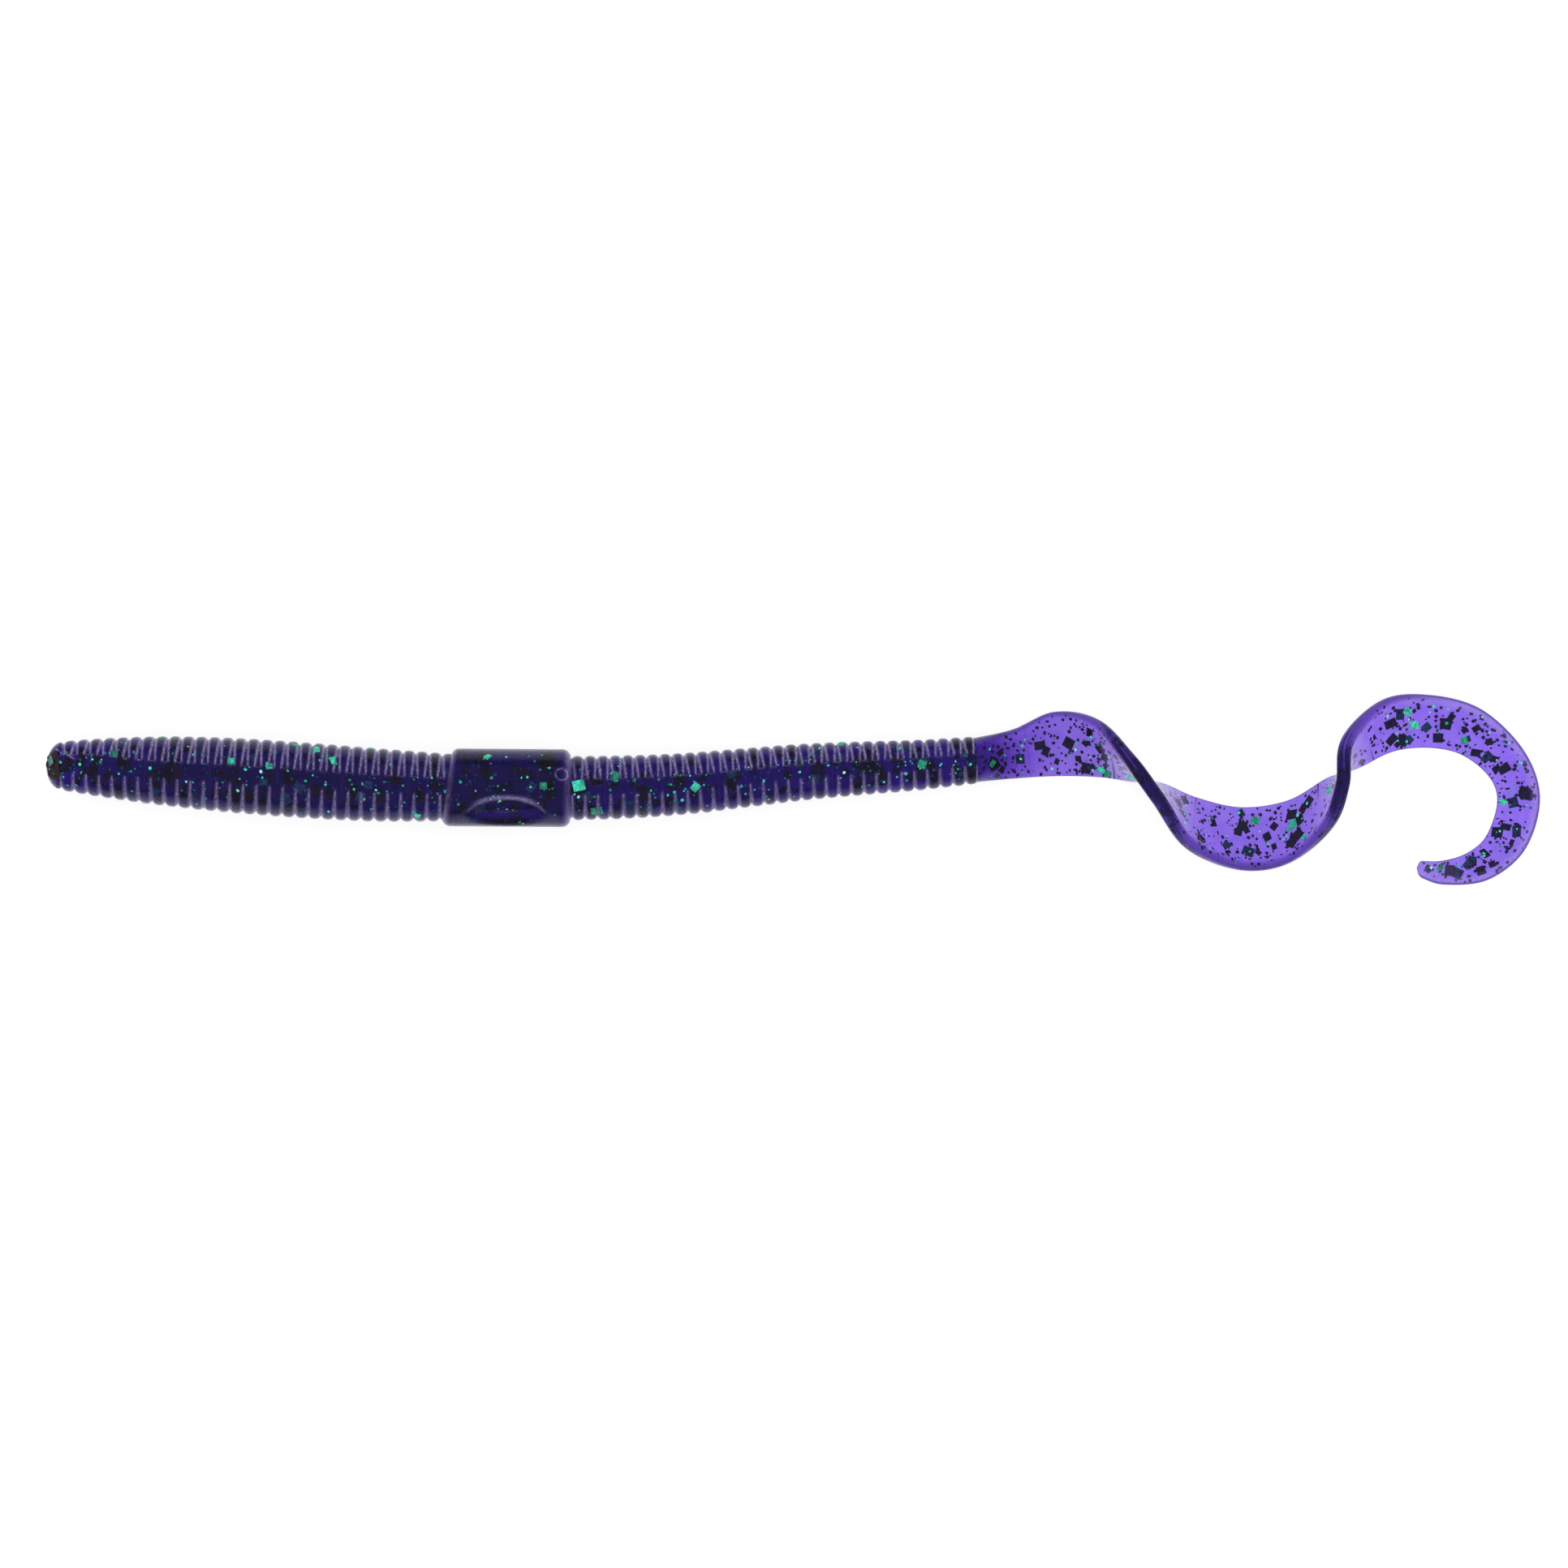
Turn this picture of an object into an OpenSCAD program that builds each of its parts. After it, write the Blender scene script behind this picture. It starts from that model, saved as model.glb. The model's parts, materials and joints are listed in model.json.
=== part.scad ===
// Ribbon-tail worm of soft plastic, lying on its side on a flat surface at Z = 0.
// X runs along the worm, from the nose at -X to the curl of the tail at +X. Z is up.
// The worm is one soft moulding with glitter in it. It is divided into short zones at its
// ring grooves, and the notch between two zones is the room that the soft plastic has to
// squash and stretch in when the worm bends there.

/* [Body] */
// Radius of the fattest rings of the front half
front_r = 3.9; // [3.6:0.1:4]
// How much thinner the rings beside the egg sack are
waist_drop = 0.3; // [0:0.05:0.4]
// How much thinner the rings at the nose are
nose_drop = 1.25; // [0.8:0.05:1.5]
// Radius of the rings just behind the egg sack
rear_r = 3.3; // [3:0.1:3.5]
// How much thinner the last rings before the tail are
rear_drop = 0.85; // [0.6:0.05:1]
// Distance from one front ring to the next
front_pitch = 1.34; // [1.3:0.02:1.4]
// Distance from one rear ring to the next
rear_pitch = 1.3; // [1.25:0.01:1.35]
// Depth of the grooves between the rings
groove = 0.36; // [0.2:0.02:0.5]

/* [Egg sack] */
// Radius of the smooth sleeve
sack_r = 4; // [3.9:0.05:4.2]
// Length of the smooth sleeve
sack_len = 13.2; // [12:0.1:13.4]
// Rounding at the ends of the sleeve
sack_round = 0.9; // [0.4:0.1:1.2]
// Depth of the scoop in the side of the sleeve
scoop_depth = 0.75; // [0.4:0.05:1]
// Length of the scoop
scoop_len = 8.8; // [6:0.2:10]
// How far the scoop is turned from the top of the sleeve, towards -Y
scoop_side = 46; // [30:1:60]

/* [Tail] */
// Radius of the thick rim where the ribbon is widest
rim_r = 0.74; // [0.5:0.02:0.8]
// Radius of the thick rim near the tip
tip_rim_r = 0.32; // [0.25:0.01:0.4]
// Thickness of the ribbon at its thin edge
edge_t = 0.34; // [0.3:0.02:0.4]
// Thickness of the ribbon beside the rim
web_t = 0.54; // [0.44:0.02:0.6]

/* [Movement] */
// Largest sideways bend of one notch in the body
yaw_deg = 20; // [10:1:24]
// Largest upward bend of one notch in the body
lift_deg = 26; // [10:1:30]
// Largest sideways bend of one notch in the curl
curl_deg = 18; // [10:1:20]

/* [Glitter] */
// Side of a large flake
flake = 1; // [0.6:0.1:1]
// Thickness of a large flake
flake_t = 0.06; // [0.04:0.01:0.1]
// Large flakes in each zone of the body
body_flakes = 5; // [3:1:6]
// Large flakes in each zone of the tail
tail_flakes = 6; // [3:1:8]

/* [Hidden] */
// Rings in each zone, from the egg sack outwards. The last zone of the front is the nose.
FRONT_RINGS = [5, 5, 5, 5, 5, 4];
REAR_RINGS = [5, 4, 5, 4, 5, 4, 5];
NOSE = 5;
nose_cap = 2;
// The front is fattest this far from the egg sack. It thins over these lengths to its waist and its nose.
FATTEST = 16;
WAIST_LEN = 14;
NOSE_TAPER = 22;
REAR_TAPER = 41;
// The pit in the nose is part of a ball
pit_r = 2;
pit_depth = 0.4;
notch_gap = 0.06;
spare_deg = 1.2;
facets = 6;
TUBE_FN = 64;

// Pivots along the body, from the egg sack outwards. Headings and heights are those of a soft
// worm that rests on its belly, with the nose and the tail turned a little to one side.
front_heading = [2.1, 3.6, 4, 3.7, 3.2, 2.8];
front_height = [4, 3.97, 3.95, 3.92, 3.72, 3.32, 2.8];
rear_heading = [1.4, 3.4, 5.6, 5.7, 3.8, 3.2, 4.8];
rear_height = [4, 3.76, 3.49, 3.23, 3.09, 2.91, 2.78, 2.6];
sack_front = [-36.06, 0.25];
sack_rear = [-22.68, 0.15];

// Outer and inner edge of the ribbon, about every 5 mm along it.
rim_edge = [
    [18.7, 5.3, 2.8], [22.6, 6.2, 1.6], [26.8, 8, 1], [31, 7.2, 3.2], [34.2, 3.6, 6.1],
    [37.4, -1.1, 6.5], [40.6, -5.9, 4.5], [45.8, -8.25, 1.25], [50.9, -7.55, 1.25], [54.8, -3.95, 4],
    [56.3, 0.4, 6], [56.7, 5.2, 5], [60.4, 9.15, 1.9], [65.2, 9.75, 0.9], [70.6, 8.3, 0.75],
    [75, 4.1, 0.6], [76.7, -0.8, 0.5], [75.2, -6.1, 0.5], [71.4, -9.25, 0.4], [66.8, -9.75, 0.4],
    [64, -8.85, 0.35]
];
thin_edge = [
    [19, 0.8, 2.2], [23.4, 1.2, 0.9], [27.4, 1.4, 0.3], [31.4, 1.3, 0.2], [34.6, 0.9, 0.2],
    [37.9, 0.6, 0.2], [41.4, -0.8, 0.2], [46, -1.8, 0.2], [50.8, -1.1, 0.2], [54.7, 1.1, 0.2],
    [56.1, 1.6, 0.2], [58.2, 2.3, 0.2], [61.6, 3.9, 0.2], [65.2, 4.3, 0.2], [68.6, 3.6, 0.2],
    [71.4, 1.4, 0.2], [72.3, -1.2, 0.2], [71.2, -4.7, 0.2], [69.2, -6.5, 0.2], [66.6, -7.3, 0.2],
    [64.1, -7.3, 0.2]
];
// Where the ribbon is divided, in steps between those points
tail_cuts = [0.1, 2.4, 4.6, 7.4, 10.1, 12.8, 14.6, 16.4, 18.2, 20];
// How the notch at each cut opens across the ribbon: only the curl bends in its own plane
tail_notch_deg = [0, 0, 0, 0, 0, 0, curl_deg, 0, curl_deg, 0];
tail_gap = 0.42;
ribbon_steps = 8;

function unit(v) = v / norm(v);
function mix(a, b, t) = a + (b - a) * t;
function ease(t) = let (u = min(max(t, 0), 1)) u * u * (3 - 2 * u);
function total(list, n) = n <= 0 ? 0 : list[n - 1] + total(list, n - 1);

// Pivots of the front and rear chains, and how far from the egg sack each zone starts
function front_len(i) = FRONT_RINGS[i] * front_pitch + (i == NOSE ? nose_cap : 0);
function rear_len(i) = REAR_RINGS[i] * rear_pitch;
function front_start(i) = total(FRONT_RINGS, i) * front_pitch;
function rear_start(i) = total(REAR_RINGS, i) * rear_pitch;
function front_pivot(i) = [
    sack_front.x - total([for (k = [0 : NOSE]) front_len(k) * cos(front_heading[k])], i),
    sack_front.y + total([for (k = [0 : NOSE]) front_len(k) * sin(front_heading[k])], i),
    front_height[i]
];
function rear_pivot(i) = [
    sack_rear.x + total([for (k = [0 : len(REAR_RINGS) - 1]) rear_len(k) * cos(rear_heading[k])], i),
    sack_rear.y + total([for (k = [0 : len(REAR_RINGS) - 1]) rear_len(k) * sin(rear_heading[k])], i),
    rear_height[i]
];

// Radius of the ring crests at a distance from the egg sack
function front_crest(s) =
    s < FATTEST ? front_r - waist_drop * pow((FATTEST - s) / WAIST_LEN, 2)
                : front_r - nose_drop * pow((s - FATTEST) / NOSE_TAPER, 2.3);
function rear_crest(s) = rear_r - rear_drop * pow(s / REAR_TAPER, 1.5);

// One ring is a round lobe: full height in its middle, a groove at each end
function lobe(u) = groove * pow(abs(2 * u - 1), 2.5);
function front_profile(from, rings) = [
    for (i = [0 : rings * facets])
        let (s = from + i / facets * front_pitch, u = i / facets - floor(i / facets))
            [front_crest(s) - lobe(u), i / facets * front_pitch]
];
function rear_profile(from, rings) = [
    for (i = [0 : rings * facets])
        let (s = from + i / facets * rear_pitch, u = i / facets - floor(i / facets))
            [rear_crest(s) - lobe(u), i / facets * rear_pitch]
];

// A solid turned about X from a list of [radius, X] points, closed on its axis
module turned(profile) {
    rotate([0, 90, 0])
        rotate_extrude($fn = TUBE_FN)
            polygon(concat([[0, profile[0][1]]], profile, [[0, profile[len(profile) - 1][1]]]));
}

// Places a zone: its own +X runs from one pivot to the next
module between(p, q) {
    d = q - p;
    translate(p)
        rotate([0, -asin(d.z / norm(d)), atan2(d.y, d.x)])
            children();
}

// The room left by a notch. The zone keeps what lies past the notch along +X.
// A yaw notch opens both ways across the worm, and a lift notch opens upwards only.
// share is the part of the notch that is cut from this zone: 1 where its neighbour has a plain end.
module past_notch(kind, share, reach) {
    open = (kind == "yaw" ? yaw_deg : lift_deg) * share + spare_deg;
    w = 6;
    back = notch_gap + w * tan(open);
    if (kind == "yaw")
        translate([0, 0, -w])
            linear_extrude(2 * w)
                polygon([[notch_gap, 0], [back, w], [reach, w], [reach, -w], [back, -w]]);
    else
        rotate([90, 0, 0])
            translate([0, 0, -w])
                linear_extrude(2 * w)
                    polygon([[notch_gap, 0], [back, w], [reach, w], [reach, -w], [notch_gap, -w]]);
}

// A ringed zone, notched at its start and at its end
module notched(len, start, end, start_share = 0.5, end_share = 0.5) {
    reach = len + 5;
    intersection() {
        children();
        past_notch(start, start_share, reach);
        if (end != "none")
            translate([len, 0, 0])
                mirror([1, 0, 0])
                    past_notch(end, end_share, reach);
    }
}

// Notches turn about an upright and a level axis by turns
function notch_kind(i) = i % 2 == 0 ? "yaw" : "lift";
function sack_share(i) = i == 1 ? 1 : 0.5;

module front_zone(i) {
    color("indigo")
        between(front_pivot(i - 1), front_pivot(i))
            notched(front_len(i - 1), notch_kind(i - 1), notch_kind(i), sack_share(i))
                turned(front_profile(front_start(i - 1), FRONT_RINGS[i - 1]));
}

module rear_zone(i) {
    color("indigo")
        between(rear_pivot(i - 1), rear_pivot(i))
            notched(rear_len(i - 1), notch_kind(i - 1), notch_kind(i), sack_share(i),
                i < len(REAR_RINGS) ? 0.5 : 1)
                turned(rear_profile(rear_start(i - 1), REAR_RINGS[i - 1]));
}

// The nose: ringed like the rest, with a blunt round end that has a shallow pit where it was moulded
module nose() {
    start = front_start(NOSE);
    nose_len = front_len(NOSE);
    rings = FRONT_RINGS[NOSE] + 0.5;
    ringed = rings * front_pitch;
    end_r = front_crest(start + ringed);
    cap = [for (a = [15 : 15 : 75]) [end_r * cos(a), ringed + (nose_len - ringed) * sin(a)]];
    color("indigo")
        between(front_pivot(NOSE), front_pivot(NOSE + 1))
            difference() {
                notched(nose_len, notch_kind(NOSE), "none")
                    turned(concat(front_profile(start, rings), cap, [[0.5, nose_len]]));
                translate([nose_len + pit_r - pit_depth, 0.3, 0])
                    sphere(r = pit_r, $fn = 32);
            }
}

// The egg sack: a smooth round-ended sleeve with a scoop low on one side for the hook's point
module egg_sack() {
    mid = [(sack_front.x + sack_rear.x) / 2, (sack_front.y + sack_rear.y) / 2, sack_r];
    turn = atan2(sack_rear.y - sack_front.y, sack_rear.x - sack_front.x);
    corner = [for (a = [0 : 18 : 90]) [sack_r - sack_round * (1 - cos(a)), sack_round * sin(a)]];
    half = sack_len / 2 - sack_round;
    profile = concat(
        [for (k = [len(corner) - 1 : -1 : 0]) [corner[k][0], -half - corner[k][1]]],
        [for (c = corner) [c[0], half + c[1]]]
    );
    scoop_r = (pow(scoop_len / 2, 2) + pow(scoop_depth, 2)) / (2 * scoop_depth);
    color("midnightblue")
        translate(mid)
            rotate([0, 0, turn])
                difference() {
                    turned(profile);
                    rotate([scoop_side, 0, 0])
                        translate([0, 0, sack_r - scoop_depth + scoop_r])
                            sphere(r = scoop_r, $fn = TUBE_FN);
                }
}

// A point on a smooth curve through the listed points
function spline(p, t) =
    let (
        last = len(p) - 1,
        i = min(max(floor(t), 0), last - 1),
        u = t - i,
        a = i > 0 ? p[i - 1] : 2 * p[0] - p[1],
        b = p[i],
        c = p[i + 1],
        d = i + 2 <= last ? p[i + 2] : 2 * p[last] - p[last - 1]
    )
    0.5 * (2 * b + (c - a) * u + (2 * a - 5 * b + 4 * c - d) * u * u + (3 * b - a - 3 * c + d) * u * u * u);

function rim_at(t) = spline(rim_edge, t);
function thin_at(t) = spline(thin_edge, t);
function mid_at(t) = (rim_at(t) + thin_at(t)) / 2;
function width_at(t) = norm(rim_at(t) - thin_at(t));
function across_at(t) = unit(rim_at(t) - thin_at(t));
function step_at(t) = norm(mid_at(t + 0.05) - mid_at(t - 0.05)) / 0.1;
function along_at(t) = unit(mid_at(t + 0.05) - mid_at(t - 0.05));
function face_at(t) = unit(cross(along_at(t), across_at(t)));

// Half a cross-section, as [distance from the thin edge, half thickness]. The ribbon leaves the
// round body in its first steps, then is a thin web with a thick rim that fades towards the tip.
function rim_r_at(t) = mix(rim_r, tip_rim_r, ease((t - 11) / 3));
function ribbon_half(t) =
    let (w = width_at(t), r = min(rim_r_at(t), w / 3), edge = edge_t / 2, web = web_t / 2)
    [
        [0, edge * 0.4],
        [min(0.2, 0.1 * w), edge],
        [0.45 * w, mix(edge, min(web, r), 0.6)],
        [w - 2.5 * r, min(web, 0.8 * r)],
        [w - 1.7 * r, 0.74 * r],
        [w - r, r],
        [w - 0.3 * r, 0.72 * r],
        [w, 0.14 * r]
    ];
root_r = 2.25;
root_fades = 2.4;
function root_half(a) = root_r * sqrt(max(1 - pow(2 * a - 1, 2), 0.01));
function half_at(t) =
    let (w = width_at(t), round = pow(max(0, 1 - t / root_fades), 2))
    [for (p = ribbon_half(t)) [p[0], mix(p[1], max(p[1], root_half(p[0] / w)), round)]];

// One zone of the ribbon: rings of points from one cut to the next, closed at both ends
module ribbon_zone(i) {
    from = tail_cuts[i];
    to = tail_cuts[i + 1];
    last = i == len(tail_cuts) - 2;
    start_tan = tan(tail_notch_deg[i] / 2 + (tail_notch_deg[i] > 0 ? spare_deg : 0));
    end_tan = tan(tail_notch_deg[i + 1] / 2 + (tail_notch_deg[i + 1] > 0 ? spare_deg : 0));
    half = len(half_at(from));
    points = [
        for (k = [0 : ribbon_steps])
            let (t0 = mix(from, to, k / ribbon_steps), section = half_at(t0))
                for (side = [1, -1], m = [0 : half - 1])
                    let (
                        j = side > 0 ? m : half - 1 - m,
                        off = abs(section[j][0] - width_at(t0) / 2),
                        lo = from + (tail_gap / 2 + off * start_tan) / step_at(from),
                        hi = last ? to : to - (tail_gap / 2 + off * end_tan) / step_at(to),
                        t = mix(lo, hi, k / ribbon_steps),
                        here = half_at(t)
                    )
                    thin_at(t) + across_at(t) * here[j][0] + face_at(t) * side * here[j][1]
    ];
    n = 2 * half;
    sides = [
        for (k = [0 : ribbon_steps - 1], j = [0 : n - 1])
            let (a = k * n + j, b = k * n + (j + 1) % n)
                [a, b, b + n, a + n]
    ];
    caps = [
        for (k = [0, ribbon_steps], j = [0 : half - 2])
            let (a = k * n + j, b = a + 1, c = k * n + n - 2 - j, d = c + 1)
                k == 0 ? [a, d, c, b] : [a, b, c, d]
    ];
    polyhedron([for (p = points) p], concat(sides, caps), convexity = 6);
}

module tail_zone(i) {
    color("blueviolet")
        ribbon_zone(i);
}

// A flake: a thin square plate
module plate(size) {
    cube([size, size, flake_t], center = true);
}

// How far the flakes in a body zone stay from its ends and below its grooves, and below the sleeve
flake_margin = 1.6;
flake_sunk = 0.55;
sack_flake_sunk = 0.7;
golden_angle = 137.5;

// Flakes in a body zone, spread round it just under the surface by a golden-angle spiral
module body_glitter(p, q, len, crest, seed) {
    color("seagreen")
        between(p, q)
            for (k = [0 : body_flakes - 1])
                rotate([golden_angle * (k + seed * body_flakes), 0, 0])
                    translate([
                        mix(flake_margin, len - flake_margin, (k + 0.5) / body_flakes),
                        0,
                        crest - groove - flake_sunk
                    ])
                        rotate([0, 0, 31 * k + 17 * seed])
                            plate(flake);
}

// Flakes in a tail zone, lying in the web, one after another along it
module tail_glitter(i) {
    color("seagreen")
        for (k = [0 : tail_flakes - 1]) {
            t = mix(tail_cuts[i], tail_cuts[i + 1], (k + 0.9) / (tail_flakes + 0.8));
            w = width_at(t);
            size = min(flake, 0.3 * w) * 0.75;
            a = w > 3 ? mix(0.3, 0.62, (k * 0.618 + i * 0.37) % 1) : 0.5;
            x = along_at(t);
            z = face_at(t);
            y = cross(z, x);
            o = thin_at(t) + across_at(t) * w * a;
            multmatrix([[x.x, y.x, z.x, o.x], [x.y, y.y, z.y, o.y], [x.z, y.z, z.z, o.z], [0, 0, 0, 1]])
                rotate([0, 0, 40 * k])
                    plate(size);
        }
}

module front_glitter(i) {
    len = front_len(i - 1);
    body_glitter(front_pivot(i - 1), front_pivot(i), len, front_crest(front_start(i - 1) + len / 2), i);
}

module nose_glitter() {
    len = front_len(NOSE) - 1;
    body_glitter(front_pivot(NOSE), front_pivot(NOSE + 1), len, front_crest(front_start(NOSE) + len), 0);
}

module sack_glitter() {
    front_end = [sack_front.x, sack_front.y, sack_r];
    rear_end = [sack_rear.x, sack_rear.y, sack_r];
    body_glitter(front_end, rear_end, sack_len, sack_r - sack_flake_sunk, 9);
}

module rear_glitter(i) {
    body_glitter(rear_pivot(i - 1), rear_pivot(i), rear_len(i - 1), rear_crest(rear_start(i)), i + 20);
}

nose();
front_zone(5);  // front_5
front_zone(4);  // front_4
front_zone(3);  // front_3
front_zone(2);  // front_2
front_zone(1);  // front_1
egg_sack();
rear_zone(1);  // rear_1
rear_zone(2);  // rear_2
rear_zone(3);  // rear_3
rear_zone(4);  // rear_4
rear_zone(5);  // rear_5
rear_zone(6);  // rear_6
rear_zone(7);  // rear_7
tail_zone(0);  // tail_root
tail_zone(1);  // tail_1
tail_zone(2);  // tail_2
tail_zone(3);  // tail_3
tail_zone(4);  // tail_4
tail_zone(5);  // tail_5
tail_zone(6);  // tail_6
tail_zone(7);  // tail_7
tail_zone(8);  // tail_tip
nose_glitter();
front_glitter(5);  // front_5_glitter
front_glitter(4);  // front_4_glitter
front_glitter(3);  // front_3_glitter
front_glitter(2);  // front_2_glitter
front_glitter(1);  // front_1_glitter
sack_glitter();  // egg_sack_glitter
rear_glitter(1);  // rear_1_glitter
rear_glitter(2);  // rear_2_glitter
rear_glitter(3);  // rear_3_glitter
rear_glitter(4);  // rear_4_glitter
rear_glitter(5);  // rear_5_glitter
rear_glitter(6);  // rear_6_glitter
rear_glitter(7);  // rear_7_glitter
tail_glitter(0);  // tail_root_glitter
tail_glitter(1);  // tail_1_glitter
tail_glitter(2);  // tail_2_glitter
tail_glitter(3);  // tail_3_glitter
tail_glitter(4);  // tail_4_glitter
tail_glitter(5);  // tail_5_glitter
tail_glitter(6);  // tail_6_glitter
tail_glitter(7);  // tail_7_glitter
tail_glitter(8);  // tail_tip_glitter
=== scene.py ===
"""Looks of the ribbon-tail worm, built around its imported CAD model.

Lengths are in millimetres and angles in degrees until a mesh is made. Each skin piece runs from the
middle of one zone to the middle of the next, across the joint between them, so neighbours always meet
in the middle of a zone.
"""
import json

import bpy
import numpy as np
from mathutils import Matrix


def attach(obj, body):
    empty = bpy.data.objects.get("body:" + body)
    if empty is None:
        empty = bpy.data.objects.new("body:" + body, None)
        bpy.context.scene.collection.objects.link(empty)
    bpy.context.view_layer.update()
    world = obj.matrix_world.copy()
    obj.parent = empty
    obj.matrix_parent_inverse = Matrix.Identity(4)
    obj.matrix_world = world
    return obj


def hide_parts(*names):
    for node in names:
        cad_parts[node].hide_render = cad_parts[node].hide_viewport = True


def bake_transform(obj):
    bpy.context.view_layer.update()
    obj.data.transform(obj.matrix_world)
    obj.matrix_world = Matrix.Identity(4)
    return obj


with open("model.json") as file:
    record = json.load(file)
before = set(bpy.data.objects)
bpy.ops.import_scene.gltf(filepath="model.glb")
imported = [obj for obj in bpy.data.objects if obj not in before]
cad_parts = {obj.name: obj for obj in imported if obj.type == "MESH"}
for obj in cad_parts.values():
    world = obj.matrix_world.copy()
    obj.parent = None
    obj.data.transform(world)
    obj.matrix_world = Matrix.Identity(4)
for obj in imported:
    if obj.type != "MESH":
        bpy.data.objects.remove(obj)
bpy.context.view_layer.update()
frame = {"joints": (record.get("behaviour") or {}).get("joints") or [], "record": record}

MM = 0.001  # one millimetre in metres
JOINTS = {j["child"]: j for j in frame["joints"]}
SEAM_GAP = 0.003  # between two skin pieces, so that their ends don't touch
SACK_OVERLAP = {-1: 1.3, 1: 0.3}  # how far the rings before and behind the egg sack go into it
TAIL_FROM = -0.12  # the ribbon starts inside the last ring
NUDGE = 0.05  # how far before and behind a place its direction is measured

# The body, as part.scad has it
FRONT_PITCH = 1.34
REAR_PITCH = 1.3
FRONT_RINGS = [5, 5, 5, 5, 5, 4]  # in each zone, from the egg sack outwards
REAR_RINGS = [5, 4, 5, 4, 5, 4, 5]
GROOVE = 0.36
FRONT_R = 3.9
WAIST_DROP = 0.3
NOSE_DROP = 1.25
FATTEST = 16
WAIST_LEN = 14
NOSE_TAPER = 22
REAR_R = 3.3
REAR_DROP = 0.85
REAR_TAPER = 41
NOSE_CAP = 2.0
FRONT = ["front_1", "front_2", "front_3", "front_4", "front_5", "nose"]
REAR = ["rear_1", "rear_2", "rear_3", "rear_4", "rear_5", "rear_6", "rear_7"]
SACK_R = 4.0
SACK_LEN = 13.2
SACK_ROUND = 0.9
SCOOP_DEPTH = 0.75
SCOOP_SIDE = -46.0
SCOOP_REACH = 4.4  # half its length

# What the looks add to that
DOME_FROM = 0.07  # where the nose's rounded end begins, past the last groove
NOSE_DOME = 1.6  # how long that is
# a painted highlight over the nose's rounded end
DOME_HIGHLIGHT = 0.3
NOSE_CREASE_SIDE = 38.0  # a crease in the nose beside its scar, in degrees from the top
NOSE_CREASE_TURN = 15.5  # degrees for each mm along the nose
NOSE_CREASE = 0.13  # its depth, and half its width
CREASE_BEHIND = 1.8  # how far it runs behind the last groove
CREASE_AHEAD = 1.2  # and ahead of it
CREASE_HAZE = 0.9
NOSE_CUT_UP = 38.0  # how far the cut end looks up
NOSE_CUT = 0.25  # how much of the rounded end is gone
FLATTENED = 0.95  # how flat the skin is there
SCAR_SIZE = 1.25  # the scar's size over the flat's
SCAR_LUMPS = 0.24  # how high its lumps are at most
BAND_UPPER = 13.0  # where the rings end beside the smooth band, in degrees from the top, towards +Y
BAND_LOWER = 10.0  # and towards -Y
BAND_WIDER = 11.0  # how much wider the band is near the nose
BAND_WIDENS = 28.0  # how far from the egg sack it begins to widen
BAND_WIDENING = 9.0  # the length in which it does
FADE_UPPER = 7.0  # degrees in which the rings rise beside the band
FADE_LOWER = 5.0
FINGERS_DOWN = 78.0  # where the fingers have their full width, in degrees from the top
SLITS_DOWN = 80.0  # where the slits have opened into plain grooves
FLOOR_AT_BAND = 0.17  # half the flat bottom of a groove between two fingers, beside the band, in rings
WALLS = (0.46, 0.15)  # a finger's wall, in rings: far from the band, and beside it
WALL_POWERS = (2.5, 1.8)
SLIT_POWERS = (2.5, 6.5)
WALL_HAZE_AND_HIGHLIGHT_AT = (0.06, 0.25)  # where the haze and painted highlight on a wall are, in rings from the groove's middle
WALL_HAZE_AND_HIGHLIGHT_WIDTHS = (0.13, 0.08)
SLIT_HAZE_AND_HIGHLIGHT_WIDTHS = (0.16, 0.09)
SACK_SLANT = 0.9  # how much shorter the sleeve's front end is towards +Y
SCOOP_HALF = 2.2  # half its width, round the sleeve
SCOOP_WALLS = (0.85, 0.3)  # its wall's share of that, at its lower and its upper edge
SCOOP_LIP = 0.1  # the raised arch along its upper edge
# painted highlights: along the arch over the scoop, and on the sleeve's two ends
ARCH_HIGHLIGHT = 0.7
END_HIGHLIGHT = 0.45
DIMPLE_X = 5.7  # a round mark at the sleeve's rear end
DIMPLE_SIDE = 21.0
DIMPLE_R = 0.62
DIMPLE_DEPTH = 0.22
DIMPLE_EDGE = 0.06  # how high the edge round it stands
DIMPLE_HAZE = 0.6

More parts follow.
